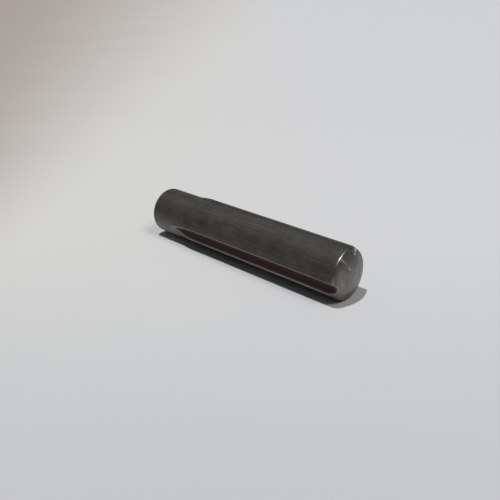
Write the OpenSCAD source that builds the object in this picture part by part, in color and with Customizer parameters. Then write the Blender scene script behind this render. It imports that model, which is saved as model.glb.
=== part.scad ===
// Groove pin: a plain steel pin with three grooves pressed along it.
// Each groove has a raised lip along both its edges, which grips the hole the pin is driven into.
// The pin lies on the plane z = 0 along X, with its plain pilot end at -X and its crowned end at +X.

/* [Pin] */
// Nominal diameter of the pin
pin_d = 5; // [4:0.1:8]
// Overall length, from the pilot end to the top of the crown
pin_len = 26; // [16:1:60]

/* [Ends] */
// Chamfer on the pilot end, the same along the pin and across it
pilot_chamfer = 0.3; // [0.1:0.05:0.6]
// Height of the crown on the driven end, with its rounded edge
crown_h = 1; // [0.5:0.1:1.5]
// Radius of the rounded edge between the body and the crown
crown_edge_r = 0.25; // [0.1:0.05:0.4]

/* [Grooves] */
// Number of grooves, evenly spaced around the pin
groove_count = 3; // [2:1:4]
// Plain length from the pilot end to the tip of each groove
pilot_len = 3.7; // [1:0.1:8]
// Width of each groove between the crests of its two lips
groove_w = 1.35; // [0.8:0.05:1.6]
// Depth of the groove's root below the nominal diameter
groove_depth = 0.4; // [0.2:0.05:0.6]
// Radius at the root of the groove
root_r = 0.2; // [0.1:0.02:0.3]
// Radius of the tool's edge, which the groove's run-out follows
tool_r = 13; // [6:0.5:25]
// Angle around the pin from the line it lies on to the first groove
first_groove = 46; // [0:1:120]

/* [Lips] */
// Height of the lips' crests above the nominal diameter's surface
lip_h = 0.175; // [0.05:0.025:0.3]
// Width of each lip across the pin, from its crest to its foot
lip_w = 0.8; // [0.4:0.05:1.1]

/* [Hidden] */
$fn = 96;

pin_r = pin_d / 2;
lip_r = pin_r + lip_h;

// The groove's section, with v out from the pin's axis and u across the groove
crest_u = groove_w / 2;
crest_v = sqrt(pow(lip_r, 2) - pow(crest_u, 2));
root_v = pin_r - groove_depth;
root_centre_v = root_v + root_r;
// Each wall of the groove runs from its lip's crest to where it is tangent to the round root
crest_dist = norm([crest_u, crest_v - root_centre_v]);
root_turn = atan2(crest_v - root_centre_v, crest_u) - acos(root_r / crest_dist);
wall_u = root_r * cos(root_turn);
wall_v = root_centre_v + root_r * sin(root_turn);
wall_slope = (crest_u - wall_u) / (crest_v - wall_v);
// The cut goes on at the same slope past the crests, by this much
cut_over = 0.5;
open_v = lip_r + cut_over;
open_u = crest_u + wall_slope * (open_v - crest_v);

// A pair of lips is one round rib, through the crests and through both feet on the nominal diameter
foot_u = crest_u + lip_w;
foot_v = sqrt(pow(pin_r, 2) - pow(foot_u, 2));
rib_v = (pow(lip_r, 2) - pow(pin_r, 2)) / (2 * (crest_v - foot_v));
rib_r = norm([crest_u, crest_v - rib_v]);
rib_top = rib_v + rib_r;

// The run-out is the arc on which the tool's edge rises from the full depth to clear of the surface
runout_len = sqrt(pow(tool_r, 2) - pow(tool_r - groove_depth, 2));
full_z = pilot_len + runout_len;
lift_turn = acos((tool_r - groove_depth - (rib_top - pin_r) - cut_over) / tool_r);
// The lips sink on an arc of the same radius until the whole rib is under the surface
sink_turn = acos((tool_r - 2 * (rib_top - pin_r)) / tool_r);
runout_steps = 6;
root_steps = 4;

// The crown and its rounded edge, as the outline's tangent arcs
edge_x = pin_r - crown_edge_r;
edge_z = pin_len - crown_h;
crown_over = crown_h - crown_edge_r;
crown_r = crown_edge_r + (pow(edge_x, 2) + pow(crown_over, 2)) / (2 * crown_over);
crown_z = pin_len - crown_r;
edge_turn = asin(edge_x / (crown_r - crown_edge_r));
edge_steps = 6;
crown_steps = 10;

// The lips roll over the edge of the crown and sink into it
nose_len = crown_edge_r;
nose_drop = rib_top - edge_x;
nose_z = edge_z - nose_len / 4;
nose_steps = 4;
// The rib is turned about its own axis this far past its feet, so that its sides lie inside the bar
rib_margin = 6;
rib_turn = atan2(foot_u, foot_v - rib_v) + rib_margin;

// Height of the axis above the plane the pin lies on, set by the body or by the lowest crest
crest_turn = asin(crest_u / lip_r);
crest_turns = [for (i = [0 : groove_count - 1], s = [-1, 1])
    first_groove + i * 360 / groove_count + s * crest_turn];
axis_h = max(pin_r, max([for (t = crest_turns) lip_r * cos(t)]));

// The plain bar: chamfered pilot end, rounded edge and crown
module bar() {
    chamfered = [[0, 0], [pin_r - pilot_chamfer, 0], [pin_r, pilot_chamfer]];
    edge = [for (i = [0 : edge_steps]) let (t = (90 - edge_turn) * i / edge_steps)
        [edge_x + crown_edge_r * cos(t), edge_z + crown_edge_r * sin(t)]];
    crown = [for (i = [1 : crown_steps]) let (t = edge_turn * (1 - i / crown_steps))
        [crown_r * sin(t), crown_z + crown_r * cos(t)]];
    rotate_extrude()
        polygon(concat(chamfered, edge, crown));
}

// Section of one groove, along X out from the pin's axis
module groove_section() {
    root = [for (i = [0 : root_steps]) let (t = -root_turn + (180 + 2 * root_turn) * i / root_steps)
        [root_centre_v - root_r * sin(t), root_r * cos(t)]];
    polygon(concat([[open_v, -open_u], [open_v, open_u]], root));
}

// One groove: straight to the crowned end, and lifting out of the bar on the tool's arc at the pilot
module groove_cut() {
    translate([0, 0, full_z])
        linear_extrude(height = pin_len - full_z + cut_over)
            groove_section();
    translate([root_v + tool_r, 0, full_z])
        rotate([90, 0, 0])
            rotate_extrude(angle = lift_turn, start = 180)
                translate([root_v + tool_r, 0])
                    mirror([1, 0])
                        groove_section();
}

// The rib that becomes a pair of lips, turned about its own axis beside the pin's
module lip_rib() {
    sunk = [for (i = [0 : runout_steps]) let (t = sink_turn * (1 - i / runout_steps))
        [rib_r - tool_r * (1 - cos(t)), full_z - tool_r * sin(t)]];
    nose = [for (i = [0 : nose_steps]) let (t = 90 * i / nose_steps)
        [rib_r - nose_drop * (1 - cos(t)), nose_z + nose_len * sin(t)]];
    translate([rib_v, 0, 0])
        rotate_extrude(angle = 2 * rib_turn, start = -rib_turn)
            polygon(concat([[0, sunk[0][1]]], sunk, nose, [[0, nose_z + nose_len]]));
}

module around() {
    for (i = [0 : groove_count - 1])
        rotate([0, 0, first_groove + i * 360 / groove_count])
            children();
}

module groove_pin() {
    color("dimgray")
        translate([-pin_len / 2, 0, axis_h])
            rotate([0, 90, 0])
                difference() {
                    union() {
                        bar();
                        around()
                            lip_rib();
                    }
                    around()
                        groove_cut();
                }
}

groove_pin();
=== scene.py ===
import math

import bmesh
import bpy
from mathutils import Matrix, Vector, noise


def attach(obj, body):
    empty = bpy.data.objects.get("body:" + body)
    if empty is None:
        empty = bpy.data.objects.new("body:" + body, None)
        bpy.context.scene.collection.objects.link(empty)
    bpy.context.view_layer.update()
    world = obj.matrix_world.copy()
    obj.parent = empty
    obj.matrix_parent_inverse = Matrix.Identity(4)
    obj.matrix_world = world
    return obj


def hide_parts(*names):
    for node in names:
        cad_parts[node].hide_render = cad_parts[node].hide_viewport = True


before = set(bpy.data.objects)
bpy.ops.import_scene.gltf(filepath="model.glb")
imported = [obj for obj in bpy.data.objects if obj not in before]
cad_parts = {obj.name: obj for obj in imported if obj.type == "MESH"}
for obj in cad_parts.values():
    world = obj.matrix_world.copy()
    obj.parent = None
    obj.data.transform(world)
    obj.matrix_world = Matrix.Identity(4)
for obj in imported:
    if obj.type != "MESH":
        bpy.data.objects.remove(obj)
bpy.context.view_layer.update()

mm = 0.001


class Wire:
    # one socket of a node tree, with the operators that the materials below use
    def __init__(self, tree, socket=None):
        self.tree = tree
        self.socket = socket

    def make(self, kind, settings=None, sockets=None, out=0):
        node = self.tree.nodes.new(kind)
        for name, value in (settings or {}).items():
            setattr(node, name, value)
        for name, value in (sockets or {}).items():
            if isinstance(value, Wire):
                value.feed(node, name)
            else:
                node.inputs[name].default_value = value
        return Wire(self.tree, node.outputs[out])

    def feed(self, node, name):
        self.tree.links.new(self.socket, node.inputs[name])

    def maths(self, operation, first, second):
        return self.make("ShaderNodeMath", {"operation": operation}, {0: first, 1: second})

    def __add__(self, other):
        return self.maths("ADD", self, other)

    __radd__ = __add__

    def __mul__(self, other):
        return self.maths("MULTIPLY", self, other)

    __rmul__ = __mul__

    def __sub__(self, other):
        return self.maths("SUBTRACT", self, other)

    def __rsub__(self, other):
        return self.maths("SUBTRACT", other, self)

    def __truediv__(self, other):
        return self.maths("DIVIDE", self, other)

    def __rtruediv__(self, other):
        return self.maths("DIVIDE", other, self)

    def step(self, low, high):
        # smooth 0 to 1 between two values
        return self.make(
            "ShaderNodeMapRange",
            {"interpolation_type": "SMOOTHSTEP"},
            {"Value": self, "From Min": low, "From Max": high},
        )

    def blend(self, first, second):
        # two colours mixed by this value, on the colour sockets of a Mix node
        a, b = (c if isinstance(c, Wire) else (*c, 1.0) for c in (first, second))
        return self.make(
            "ShaderNodeMix", {"data_type": "RGBA"}, {"Factor": self, 6: a, 7: b}, out=2
        )


# sizes in millimetres and degrees: the body has the solid's,
# the crown, the ends of the grooves and lips, and the wear with its painted highlights follow the
# photograph
pinShape = {
    "radius": 2.5,
    "length": 26.0,
    "axisHeight": 2.5,
    "pilotChamfer": 0.3,
    "cornerRounding": 0.06,
    "crownHeight": 0.82,
    "crownEdge": 0.25,
    "crownTilt": (-0.025, -0.04),  # slope of the crown across the pin and upwards
    "tiltReach": 1.0,
    # the grooves, and the tool's arc on which they run out
    "grooves": 3,
    "firstGroove": 46.0,
    "grooveWidth": 1.35,
    "grooveDepth": 0.4,
    "rootSoftness": 0.1,
    "pilotLength": 3.2,
    "toolRadius": 20.0,
    # the lips start on a smaller arc than the grooves, and roll over the crown's edge
    "lipHeight": 0.175,
    "lipWidth": 0.8,
    "lipRounding": 0.09,
    "footBlend": 0.06,
    "lipStart": 7.0,
    "lipFull": 6.28,
    "lipRollOver": (-0.5, 0.2),
    "exitRounding": 0.14,
    "exitReach": (-0.5, 0.0),
    # metal pushed out round a groove's mouth; its painted highlight lies on one wall, which is given
    # in radians
    "burr": 0.045,
    "burrWidth": 0.12,
    "burrReach": (0.0, 0.15),
    "burrGlintWall": (-0.06, 0.04),
    # stain with painted shade, and wear with painted highlight, go by the depth under the lips, the
    # crown's face and edge by the way past the body
    "stainAndShadeDepth": (0.08, 0.2),
    "lipWearAndSheen": (-0.14, 0.0, 0.06, 0.16),
    "runOutFade": 0.6,
    "crownFace": (0.1, 0.4),
    "edgeBand": 0.2,
    # the surface lies a little inside the solid's and waves slightly
    "skin": 0.004,
    "waviness": 0.004,
    "waveAlong": 0.35,
    "waveAround": 1.2,
    "waveCount": 1.7,
    # scratches on the crown: start and end across the pin and up from its axis, half width and
    # depth, and the depth from which a scratch is bright; the last one is a raised bead
    "brightDepth": 0.03,
    "scratches": [
        ((-1.5, 2.25), (-1.1, 1.6), 0.13, 0.03),
        ((-1.2, 1.85), (-0.9, 1.4), 0.1, 0.022),
        ((-0.85, 1.25), (-0.5, 0.7), 0.09, 0.02),
        ((-0.95, 1.85), (-0.75, 1.6), 0.05, 0.015),
        ((0.45, 0.9), (0.3, -0.5), 0.06, 0.02),
        ((0.1, 0.4), (0.05, -0.9), 0.06, 0.016),
        ((-1.75, 0.6), (-1.5, -0.9), 0.07, 0.005),
        ((0.62, 2.02), (0.28, 2.12), 0.15, -0.09),
    ],
    # how closely the rings lie along the pin, and how far a stretch of close ones reaches
    "faceRings": (0.0, 0.7, 1.4),
    "faceRim": 0.25,
    "cornerSteps": 5,
    "pilotStep": 0.3,
    "runOutStep": 0.06,
    "bodyStep": 0.4,
    "noseStep": 0.025,
    "tipMargin": 0.4,
    "ringMargin": 0.1,
    "noseLength": 0.8,
    "noseGap": 0.02,
    "edgeSteps": 26,
    "crownSteps": 52,
    "crownGather": 1.5,
    # how closely the points lie around it: in a groove, on its lips and between the grooves
    "grooveTurn": (0.8, 20),
    "lipTurn": (1.4, 17),
    "bodyTurn": 2.7,
    "clearTurn": 3.0,
}
pinMarks = ("groove", "wearAndSheen", "crown", "edge", "burr", "scratch")  # layers that the finish reads
farOff = 99.0  # a radius well outside the pin
arcShare = 0.9  # an arc is followed this far along its radius
leastLead = 0.02  # below this a groove's wall runs past the pin


def smoothStep(low, high, value):
    t = min(max((value - low) / (high - low), 0.0), 1.0)
    return t * t * (3 - 2 * t)


def softMin(a, b, k):
    h = max(k - abs(a - b), 0.0) / k
    return min(a, b) - h * h * k / 4


def softMax(a, b, k):
    return -softMin(-a, -b, k)


def pinNumbers(s):
    # what follows from the sizes: the groove's wall, the round rib of the lips, and the crown
    n = dict(s)
    lipR = s["radius"] + s["lipHeight"]
    crestU = s["grooveWidth"] / 2
    crestV = math.sqrt(lipR**2 - crestU**2)
    n["rootV"] = s["radius"] - s["grooveDepth"]
    soft = s["rootSoftness"]
    n["slope"] = math.sqrt((crestV - n["rootV"] + soft) ** 2 - soft**2) / crestU
    footU = crestU + s["lipWidth"]
    footV = math.sqrt(s["radius"] ** 2 - footU**2)
    n["ribV"] = (lipR**2 - s["radius"] ** 2) / (2 * (crestV - footV))
    n["ribR"] = math.hypot(crestU, crestV - n["ribV"])
    tool = s["toolRadius"]
    n["fullZ"] = s["pilotLength"] + math.sqrt(tool**2 - (tool - s["grooveDepth"]) ** 2)
    n["edgeX"] = s["radius"] - s["crownEdge"]
    n["edgeZ"] = s["length"] - s["crownHeight"]
    over = s["crownHeight"] - s["crownEdge"]
    inner = (n["edgeX"] ** 2 + over**2) / (2 * over)
    n["crownRadius"] = inner + s["crownEdge"]
    n["crownZ"] = s["length"] - n["crownRadius"]
    n["edgeTurn"] = math.asin(n["edgeX"] / inner)
    return n


def arcRise(radius, back):
    # how far an arc has risen at this distance back from its lowest point
    back = min(max(back, 0.0), radius * arcShare)
    return radius - math.sqrt(radius**2 - back**2)


def grooveWall(n, turn, rise):
    # radius of the groove's surface at an angle from its middle, where the tool has risen this far
    c, s = math.cos(turn), math.sin(turn)
    soft = n["rootSoftness"]
    root = n["rootV"] + rise - soft
    lead = c * c - (n["slope"] * s) ** 2
    if lead < leastLead:
        return farOff
    return (root * c + math.sqrt(max((root * c) ** 2 - lead * (root**2 - soft**2), 0.0))) / lead


def lipRadius(n, turn, z):
    # radius of the rib that the groove splits into two lips
    ribR = n["ribR"] - arcRise(n["lipStart"], n["lipFull"] - z)
    under = ribR**2 - (n["ribV"] * math.sin(turn)) ** 2
    return n["ribV"] * math.cos(turn) + math.sqrt(under) if under > 0 else 0.0


def surfaceAt(n, turn, z, limit):
    # radius, and the masks of this place: groove stain with painted shade, lip wear with painted
    # highlight, crown, crown's edge band and the burr's painted highlight
    rise = arcRise(n["toolRadius"], n["fullZ"] - z)
    groove = grooveWall(n, turn, rise)
    past = z - n["edgeZ"]
    lip = softMax(n["radius"], lipRadius(n, turn, z), n["footBlend"]) - n["radius"]
    lip *= 1 - smoothStep(*n["lipRollOver"], past)
    body = min(n["radius"], limit) + (lip if z > n["pilotChamfer"] else 0.0)
    rounding = n["exitRounding"] - n["lipRounding"]
    rounding = n["lipRounding"] + rounding * smoothStep(*n["exitReach"], past)
    under = body - groove
    mouth = 1 - smoothStep(0.0, n["burrWidth"], abs(under))
    burr = mouth * smoothStep(*n["burrReach"], past)
    r = softMin(body, groove, rounding) + n["burr"] * burr
    # the burr's painted highlight is kept to one wall
    burr *= smoothStep(*n["burrGlintWall"], -turn)
    # groove stain that also paints the shade in the hollow
    stainAndShade = smoothStep(*n["stainAndShadeDepth"], under)
    # a light band along the lip crests: real wear, reaching onto the flanks as a painted highlight
    bandStart, bandFull, bandLast, bandEnd = n["lipWearAndSheen"]
    wearAndSheen = smoothStep(bandStart, bandFull, under) * (1 - smoothStep(bandLast, bandEnd, under))
    wearAndSheen *= 1 - n["runOutFade"] * rise / n["grooveDepth"]
    edge = 1 - smoothStep(0.0, n["edgeBand"], abs(past - n["edgeBand"] / 2))
    return r, stainAndShade, max(wearAndSheen, 0.0), smoothStep(*n["crownFace"], past), edge, burr


def roundedCorner(before, corner, after, radius, steps):
    a, c, b = Vector(before), Vector(corner), Vector(after)
    u, v = (a - c).normalized(), (b - c).normalized()
    half = u.angle(v) / 2
    start, end = c + u * radius / math.tan(half), c + v * radius / math.tan(half)
    centre = c + (u + v).normalized() * radius / math.sin(half)
    points = []
    for i in range(steps + 1):
        way = (start - centre).lerp(end - centre, i / steps).normalized()
        points.append(tuple(centre + way * radius))
    return points


def places(start, end, step):
    found = []
    while start < end:
        found.append(start)
        start += step
    return found


def pinRail(n):
    # place along the pin and largest radius there, from the pilot's face to the top of the crown
    r, chamfer = n["radius"], n["pilotChamfer"]
    rim = r - chamfer
    rail = [(0.0, out) for out in (*n["faceRings"], rim - n["faceRim"])]
    rounding = (n["cornerRounding"], n["cornerSteps"])
    rail += roundedCorner((0, 0), (0, rim), (chamfer, r), *rounding)
    rail += roundedCorner((0, rim), (chamfer, r), (n["pilotLength"], r), *rounding)
    margin = n["ringMargin"]
    tip, nose = n["pilotLength"] - n["tipMargin"], n["edgeZ"] - n["noseLength"]
    pilot = places(chamfer + margin, tip, n["pilotStep"])
    runOut = places(tip, n["fullZ"] + margin, n["runOutStep"])
    body = places(runOut[-1] + n["runOutStep"], nose - margin, n["bodyStep"])
    lastRings = places(nose, n["edgeZ"] - n["noseGap"], n["noseStep"])
    rail += [(z, farOff) for z in pilot + runOut + body + lastRings]
    for i in range(n["edgeSteps"] + 1):
        t = (math.pi / 2 - n["edgeTurn"]) * i / n["edgeSteps"]
        z = n["edgeZ"] + n["crownEdge"] * math.sin(t)
        rail.append((z, n["edgeX"] + n["crownEdge"] * math.cos(t)))
    for i in range(1, n["crownSteps"] + 1):
        t = n["edgeTurn"] * (1 - (i / n["crownSteps"]) ** n["crownGather"])
        z = n["crownZ"] + n["crownRadius"] * math.cos(t)
        rail.append((z, n["crownRadius"] * math.sin(t)))
    return rail


def ringTurns(n):
    # angles around the pin, each with its angle from the nearest groove
    (fine, fineCount), (lip, lipCount) = n["grooveTurn"], n["lipTurn"]
    near = [fine * i for i in range(fineCount)]
    near += [fine * fineCount + lip * i for i in range(lipCount)]
    across = [-o for o in near[:0:-1]] + near
    last = near[-1]
    middles = [n["firstGroove"] + g * 360 / n["grooves"] for g in range(n["grooves"])]
    turns = []
    for middle, following in zip(middles, middles[1:] + [middles[0] + 360]):
        turns += [(middle + o, o) for o in across]
        gap = following - middle - 2 * last
        steps = math.ceil(gap / n["bodyTurn"])
        turns += [(middle + last + gap * i / steps, last + n["clearTurn"]) for i in range(1, steps)]
    return turns


def scratchDepth(n, across, up):
    # depth of the scratches at this place on the crown, and how bright they are there
    sunk, shine = 0.0, 0.0
    p = Vector((across, up))
    for start, end, width, depth in n["scratches"]:
        a, b = Vector(start), Vector(end)
        along = min(max((p - a).dot(b - a) / (b - a).length_squared, 0.0), 1.0)
        off = (p - a - (b - a) * along).length
        taper = 1 - abs(2 * along - 1) ** 3
        reach = taper * (1 - smoothStep(0.0, width, off))
        sunk += depth * reach
        shine = max(shine, reach * min(abs(depth) / n["brightDepth"], 1.0))
    return sunk, shine


def buildPin(s):
    n = pinNumbers(s)
    turns = ringTurns(n)
    lean = Vector(n["crownTilt"])
    bm = bmesh.new()
    layers = [bm.verts.layers.float.new(name) for name in pinMarks]
    ring = bmesh.ops.create_circle(bm, segments=len(turns), radius=mm)["verts"]
    edges = list(bm.edges)
    for row, (z, limit) in enumerate(pinRail(n)):
        if row:
            grown = bmesh.ops.extrude_edge_only(bm, edges=edges)["geom"]
            fresh = {g for g in grown if isinstance(g, bmesh.types.BMVert)}
            edges = [g for g in grown if isinstance(g, bmesh.types.BMEdge)]
            edges = [e for e in edges if fresh.issuperset(e.verts)]
            # the new ring in the order of the old one
            joined = [[e.other_vert(v) for e in v.link_edges] for v in ring]
            ring = [next(v for v in others if v in fresh) for others in joined]
        for vert, (turn, offset) in zip(ring, turns):
            a = math.radians(turn)
            r, *marks = surfaceAt(n, math.radians(offset), z, limit)
            around = n["waveAround"]
            way = Vector((z * n["waveAlong"], math.sin(a) * around, math.cos(a) * around))
            inset = n["skin"] + n["waviness"] * (1 + noise.noise(way * n["waveCount"]))
            r -= inset * min(1.0, r / n["radius"])
            across, up = r * math.sin(a), -r * math.cos(a)
            sunk, shine = scratchDepth(n, across, up) if z > n["edgeZ"] else (0.0, 0.0)
            for layer, mark in zip(layers, (*marks, shine)):
                vert[layer] = mark
            # the crown stands a little askew
            askew = lean.dot((across, up)) - lean.length_squared * n["crownRadius"] / 2
            askew *= smoothStep(n["edgeZ"] - n["tiltReach"], n["edgeZ"], z)
            along = z - sunk + askew - n["length"] / 2
            vert.co = Vector((along, across, n["axisHeight"] + up)) * mm
    # the first and the last ring close to a point
    bmesh.ops.remove_doubles(bm, verts=bm.verts, dist=1e-7)
    bmesh.ops.recalc_face_normals(bm, faces=bm.faces)
    mesh = bpy.data.meshes.new("groovePin")
    bm.to_mesh(mesh)
    bm.free()
    mesh.shade_smooth()
    pin = bpy.data.objects.new("groovePin", mesh)
    bpy.context.scene.collection.objects.link(pin)
    print("pin built,", len(mesh.polygons), "faces")
    return pin


# colours, then how strongly and where each mark shows, in millimetres from the pin's axis or middle
steelFinish = {
    "dark": (0.065, 0.0615, 0.0575),
    "light": (0.199, 0.189, 0.174),
    # dark colour of the grooves: partly old stain, partly painted shade in the hollow
    "groove": (0.15, 0.088, 0.098),
    "grooveTip": (0.15, 0.115, 0.105),
    "crown": (0.258, 0.247, 0.226),
    "crownStain": (0.15, 0.14, 0.11),
    "wornAndSheen": (0.36, 0.35, 0.34),
    "scratch": (0.85, 0.83, 0.8),
    "roughness": 0.82,
    "roughnessVaries": 0.06,
    "wornAndSheenRoughness": 0.3,
    "edgeRoughness": 0.34,
    "burrRoughness": 0.45,
    "crownRoughness": 0.4,
    "film": 0.5,
    "filmRoughness": 0.45,
    "bumpStrength": 0.15,
    "bumpHeight": 0.02,
    # clouds, grain and streaks of the body, counted to the metre, and their shares in its tone
    "cloudScale": 500.0,
    "grainScale": 7000.0,
    "streakScale": (250.0, 7000.0, 7000.0),
    "toneShares": (0.3, 0.35, 0.35),
    "toneSpan": (0.3, 0.7),
    # turning marks, rubbing and patches of the crown, and their shares
    "arcScale": 8000.0,
    "arcBreaks": 5.0,
    "rubScale": (900.0, 12000.0, 900.0),
    "rubTurn": (0.5, 0.0, 0.0),
    "patchScale": 1100.0,
    "markShares": (0.1, 0.5, 0.4),
    "markSpan": (0.36, 0.64),
    "crownLeast": 0.25,
    # dark spots on the crown, the first one painted shade high in the dome's middle: across the pin,
    # up from its axis, size
    "darkSpotsAndShade": [(0.3, 1.35, 0.75), (-1.6, 1.65, 0.55), (-0.75, 0.9, 0.6), (0.1, -0.3, 0.3)],
    "spotDepth": 0.75,
    "spotSpan": (0.5, 1.4),
    "spotRagged": 0.6,
    # wear on the lips with a painted highlight along them, less of it on top, low down and in the
    # grooves
    "upperSpan": (0.3, 1.8),
    "upperLess": 0.8,
    "lowerSpan": (-1.1, -0.3),
    "lowerLess": 0.65,
    "grooveLess": 0.5,
    "lipToneLeast": 0.6,
    # a painted reflection of the lit floor on the pilot's lower side, and wear round the crown's edge
    # with a painted highlight on top
    "pilotSpan": (-10.0, -8.0),
    "pilotRise": (-2.0, 0.9),
    "pilotReflectionShare": 0.75,
    "edgeWearAndHighlight": (0.15, 0.5),
    "scratchShine": (0.4, 0.8),
    # the grooves are darkened, partly old stain and partly painted shade in the hollow, except the one
    # on top
    "clearTopSpan": (1.0, 1.9),
    "tipFade": (-9.0, 0.0),
}


def darkSteel(f, axisHeight):
    material = bpy.data.materials.new("darkSteel")
    material.use_nodes = True
    tree = material.node_tree
    shader = tree.nodes["Principled BSDF"]
    start = Wire(tree)
    place = start.make("ShaderNodeTexCoord", out="Object")
    groove, wearAndSheen, crown, edge, burr, scratch = (
        start.make("ShaderNodeAttribute", {"attribute_name": name}, out="Fac") for name in pinMarks
    )
    x, z = (start.make("ShaderNodeSeparateXYZ", None, {0: place}, out=name) for name in "XZ")
    section = start.make(
        "ShaderNodeVectorMath", {"operation": "MULTIPLY"}, {0: place, 1: (0.0, 1.0, 1.0)}
    )

    def farFrom(across, up):
        # distance from a line along the pin
        spot = (0.0, across * mm, (up + axisHeight) * mm)
        return start.make(
            "ShaderNodeVectorMath", {"operation": "DISTANCE"}, {0: section, 1: spot}, out="Value"
        )

    def raised(low, high):
        # 0 to 1 between two heights from the axis
        return z.step((axisHeight + low) * mm, (axisHeight + high) * mm)

    def further(low, high):
        # 0 to 1 between two places along the pin
        return x.step(low * mm, high * mm)

    def speckle(vector, scale, detail):
        return start.make(
            "ShaderNodeTexNoise", None, {"Vector": vector, "Scale": scale, "Detail": detail}
        )

    def stretched(scale, turn=(0.0, 0.0, 0.0)):
        return start.make(
            "ShaderNodeMapping",
            {"vector_type": "POINT"},
            {"Vector": place, "Rotation": turn, "Scale": scale},
        )

    cloud = speckle(place, f["cloudScale"], 3.0)
    streak = speckle(stretched(f["streakScale"]), 1.0, 3.0)
    grain = speckle(place, f["grainScale"], 2.0)
    cloudPart, streakPart, grainPart = f["toneShares"]
    tone = (cloud * cloudPart + streak * streakPart + grain * grainPart).step(*f["toneSpan"])
    colour = tone.blend(f["dark"], f["light"])

    # broken turning marks, fine scratches and dark spots on the crown, one of them painted shade
    arcs = start.make(
        "ShaderNodeTexNoise",
        {"noise_dimensions": "1D"},
        {"W": farFrom(0.0, 0.0) * f["arcScale"] + cloud * f["arcBreaks"], "Scale": 1.0},
    )
    rub = speckle(stretched(f["rubScale"], f["rubTurn"]), 1.0, 3.0)
    patch = speckle(place, f["patchScale"], 2.0)
    arcPart, rubPart, patchPart = f["markShares"]
    marks = (arcs * arcPart + rub * rubPart + patch * patchPart).step(*f["markSpan"])
    for across, up, size in f["darkSpotsAndShade"]:
        inner, outer = (size * mm * part for part in f["spotSpan"])
        ragged = farFrom(across, up) + patch * (size * mm * f["spotRagged"])
        marks = marks * (1 - f["spotDepth"] + ragged.step(inner, outer) * f["spotDepth"])
    colour = (crown * (1 - marks)).blend(colour, f["crownStain"])
    colour = (crown * (f["crownLeast"] + marks * (1 - f["crownLeast"]))).blend(colour, f["crown"])

    # light colour on the lips, the pilot and the crown's edge: wear, with painted highlights on the
    # lips and the edge's top and a painted reflection on the pilot
    upper, lower = raised(*f["upperSpan"]), 1 - raised(*f["lowerSpan"])
    wearAndSheen = wearAndSheen * (1 - upper * (1 - crown) * f["upperLess"])
    wornAndSheen = wearAndSheen * (1 - groove * f["grooveLess"]) * (1 - lower * f["lowerLess"])
    wornAndSheen = wornAndSheen * (f["lipToneLeast"] + tone * (1 - f["lipToneLeast"]))
    colour = wornAndSheen.blend(colour, f["wornAndSheen"])
    # painted reflection of the lit floor on the pilot's lower side
    pilotReflection = (1 - further(*f["pilotSpan"])) * (1 - raised(*f["pilotRise"]))
    colour = (pilotReflection * (1 - groove) * f["pilotReflectionShare"]).blend(colour, f["wornAndSheen"])
    # the crown's edge is worn all round, with a painted highlight stronger on top
    edgeLeast, edgeMore = f["edgeWearAndHighlight"]
    colour = (edge * (edgeLeast + upper * edgeMore) * (1 - groove)).blend(colour, f["wornAndSheen"])
    shineLeast, shineMore = f["scratchShine"]
    colour = (scratch * (shineLeast + rub * shineMore)).blend(colour, f["scratch"])
    # painted highlight of the burr, only on the top groove
    burr = burr * upper
    colour = burr.blend(colour, f["scratch"])

    # the grooves' colour: partly stain, partly painted shade in the hollow; none in the groove on top
    stainAndShade = further(*f["tipFade"]).blend(f["grooveTip"], f["groove"])
    colour = (groove * (1 - crown) * (1 - raised(*f["clearTopSpan"]))).blend(colour, stainAndShade)

    rough = f["roughness"] + tone * f["roughnessVaries"]
    smoother = {"crown": crown, "wornAndSheen": wearAndSheen, "edge": edge, "burr": burr}
    for name, mask in smoother.items():
        rough = rough * (1 - mask) + f[name + "Roughness"] * mask
    relief = (streak * 0.5 + grain * 0.5) * (1 - crown) + marks * crown
    bump = start.make(
        "ShaderNodeBump",
        None,
        {"Strength": f["bumpStrength"], "Distance": f["bumpHeight"] * mm, "Height": relief},
    )
    film = (1 - crown) * (1 - groove) * f["film"]
    colour.feed(shader, "Base Color")
    rough.feed(shader, "Roughness")
    bump.feed(shader, "Normal")
    film.feed(shader, "Coat Weight")
    shader.inputs["Coat Roughness"].default_value = f["filmRoughness"]
    shader.inputs["Metallic"].default_value = 1.0
    print("steel finish made")
    return material


pin = buildPin(pinShape)
pin.data.materials.append(darkSteel(steelFinish, pinShape["axisHeight"]))
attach(pin, "root")
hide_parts("groove_pin")

# the paper, in metres: a little darker near by, cooler on the right, shaded far off on the left
paper = {
    "size": 3.0,
    "roughness": 0.85,
    "tone": (0.795, 0.803, 0.8),
    "cool": (0.787, 0.803, 0.832),
    "coolSpan": (-0.03, 0.03),
    "near": (0.655, 0.678, 0.705),
    "nearSpan": (-0.04, 0.015),
    "nearRagged": 0.01,
    "shade": (0.475, 0.427, 0.392),
    # the shade spreads like a fan from this place, between these slopes
    "shadeFrom": (0.03, -0.04),
    "shadeLeast": 0.005,
    "shadeSlant": (-0.1, 0.38),
    "shadeRagged": 0.04,
    "cloudScale": 40.0,
    # the camera's own left and straight ahead
    "left": (-0.734, -0.679, 0.0),
    "ahead": (-0.679, 0.734, 0.0),
}


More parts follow.
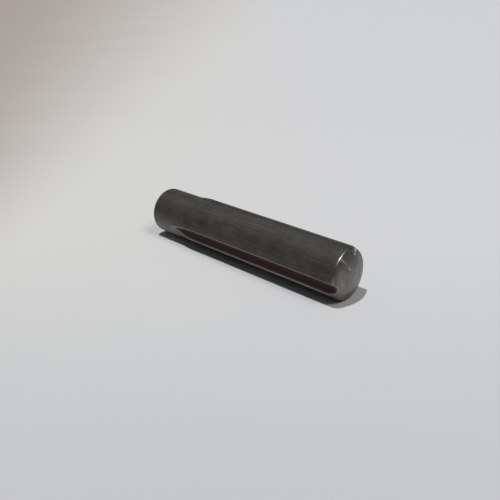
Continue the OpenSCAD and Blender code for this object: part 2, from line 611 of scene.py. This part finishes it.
def paperFloor(p):
    bm = bmesh.new()
    bmesh.ops.create_grid(bm, x_segments=2, y_segments=2, size=p["size"])
    mesh = bpy.data.meshes.new("paperFloor")
    bm.to_mesh(mesh)
    bm.free()
    floor = bpy.data.objects.new("paperFloor", mesh)
    bpy.context.scene.collection.objects.link(floor)
    material = bpy.data.materials.new("palePaper")
    material.use_nodes = True
    tree = material.node_tree
    start = Wire(tree)
    place = start.make("ShaderNodeTexCoord", out="Object")
    left, ahead = (
        start.make(
            "ShaderNodeVectorMath", {"operation": "DOT_PRODUCT"}, {0: place, 1: p[way]}, out="Value"
        )
        for way in ("left", "ahead")
    )
    cloud = start.make(
        "ShaderNodeTexNoise", None, {"Vector": place, "Scale": p["cloudScale"], "Detail": 3.0}
    )
    colour = left.step(*p["coolSpan"]).blend(p["cool"], p["tone"])
    colour = (ahead + cloud * p["nearRagged"]).step(*p["nearSpan"]).blend(p["near"], colour)
    offLeft, offAhead = p["shadeFrom"]
    slant = (left - offLeft) / start.maths("MAXIMUM", ahead - offAhead, p["shadeLeast"])
    colour = (slant + cloud * p["shadeRagged"]).step(*p["shadeSlant"]).blend(colour, p["shade"])
    shader = tree.nodes["Principled BSDF"]
    colour.feed(shader, "Base Color")
    shader.inputs["Roughness"].default_value = p["roughness"]
    mesh.materials.append(material)
    print("floor laid")


paperFloor(paper)

# light from above for the sharp shadow, a broad one from the right, and a room darkest in front
studio = {
    "lamps": {
        "key": {
            "strength": 1.66,
            "spread": 3.0,
            "towards": (0.15, 0.13, -1.0),
            "tint": (1.0, 1.0, 1.0),
            "mirrored": True,
        },
        "fill": {
            "strength": 0.8,
            "spread": 24.0,
            "towards": (-0.5, -0.06, -0.85),
            "tint": (1.0, 0.95, 0.89),
            "mirrored": False,
        },
    },
    "overhead": (0.09, 0.092, 0.095),
    "overheadSpan": (0.3, 0.95),
    "walls": (0.2, 0.2, 0.195),
    "front": (0.04, 0.039, 0.038),
    "frontSpan": (-0.7, 0.3),
}


def lightStudio(t):
    for name, given in t["lamps"].items():
        lamp = bpy.data.lights.new(name + "Lamp", "SUN")
        lamp.energy = given["strength"]
        lamp.angle = math.radians(given["spread"])
        lamp.color = given["tint"]
        held = bpy.data.objects.new(name + "Lamp", lamp)
        held.visible_glossy = given["mirrored"]
        held.rotation_euler = Vector(given["towards"]).to_track_quat("-Z", "Y").to_euler()
        bpy.context.scene.collection.objects.link(held)
    world = bpy.data.worlds.new("studioRoom")
    world.use_nodes = True
    start = Wire(world.node_tree)
    way = start.make("ShaderNodeTexCoord", out="Generated")
    ahead, height = (start.make("ShaderNodeSeparateXYZ", None, {0: way}, out=name) for name in "YZ")
    walls = ahead.step(*t["frontSpan"]).blend(t["front"], t["walls"])
    colour = height.step(*t["overheadSpan"]).blend(walls, t["overhead"])
    colour.feed(world.node_tree.nodes["Background"], "Color")
    bpy.context.scene.world = world
    print("studio lit")


lightStudio(studio)

# camera from the photograph: angles in degrees, lengths in millimetres, the pin's middle in pixels
cameraView = {
    "focalPixels": 622.47,
    "azimuth": 42.775,
    "pitch": 24.236,
    "roll": 0.124,
    "distance": 64.861,
    "middlePixel": (250.38, 238.77),
    "framePixels": 500.0,
    "sensorWidth": 36.0,
    "nearest": 1.0,
}


def placeCamera(v, target):
    a, e, r = (math.radians(v[k]) for k in ("azimuth", "pitch", "roll"))
    ahead = Vector((-math.sin(a) * math.cos(e), math.cos(a) * math.cos(e), -math.sin(e)))
    side = Vector((math.cos(a), math.sin(a), 0))
    up = side.cross(ahead)
    side, up = side * math.cos(r) + up * math.sin(r), up * math.cos(r) - side * math.sin(r)
    half = v["framePixels"] / 2
    dist = v["distance"] * mm
    offX = (v["middlePixel"][0] - half) / v["focalPixels"] * dist
    offY = (half - v["middlePixel"][1]) / v["focalPixels"] * dist
    lens = bpy.data.cameras.new("photoCamera")
    lens.sensor_width = v["sensorWidth"]
    lens.lens = v["focalPixels"] / v["framePixels"] * v["sensorWidth"]
    lens.clip_start = v["nearest"] * mm
    camera = bpy.data.objects.new("photoCamera", lens)
    spot = Vector(target) - ahead * dist - side * offX - up * offY
    turn = Matrix((side, up, -ahead)).transposed().to_4x4()
    camera.matrix_world = Matrix.Translation(spot) @ turn
    bpy.context.scene.collection.objects.link(camera)
    bpy.context.scene.camera = camera
    print("camera placed at", tuple(round(c, 5) for c in spot))


placeCamera(cameraView, (0, 0, pinShape["axisHeight"] * mm))
bpy.context.scene.view_settings.view_transform = "Standard"
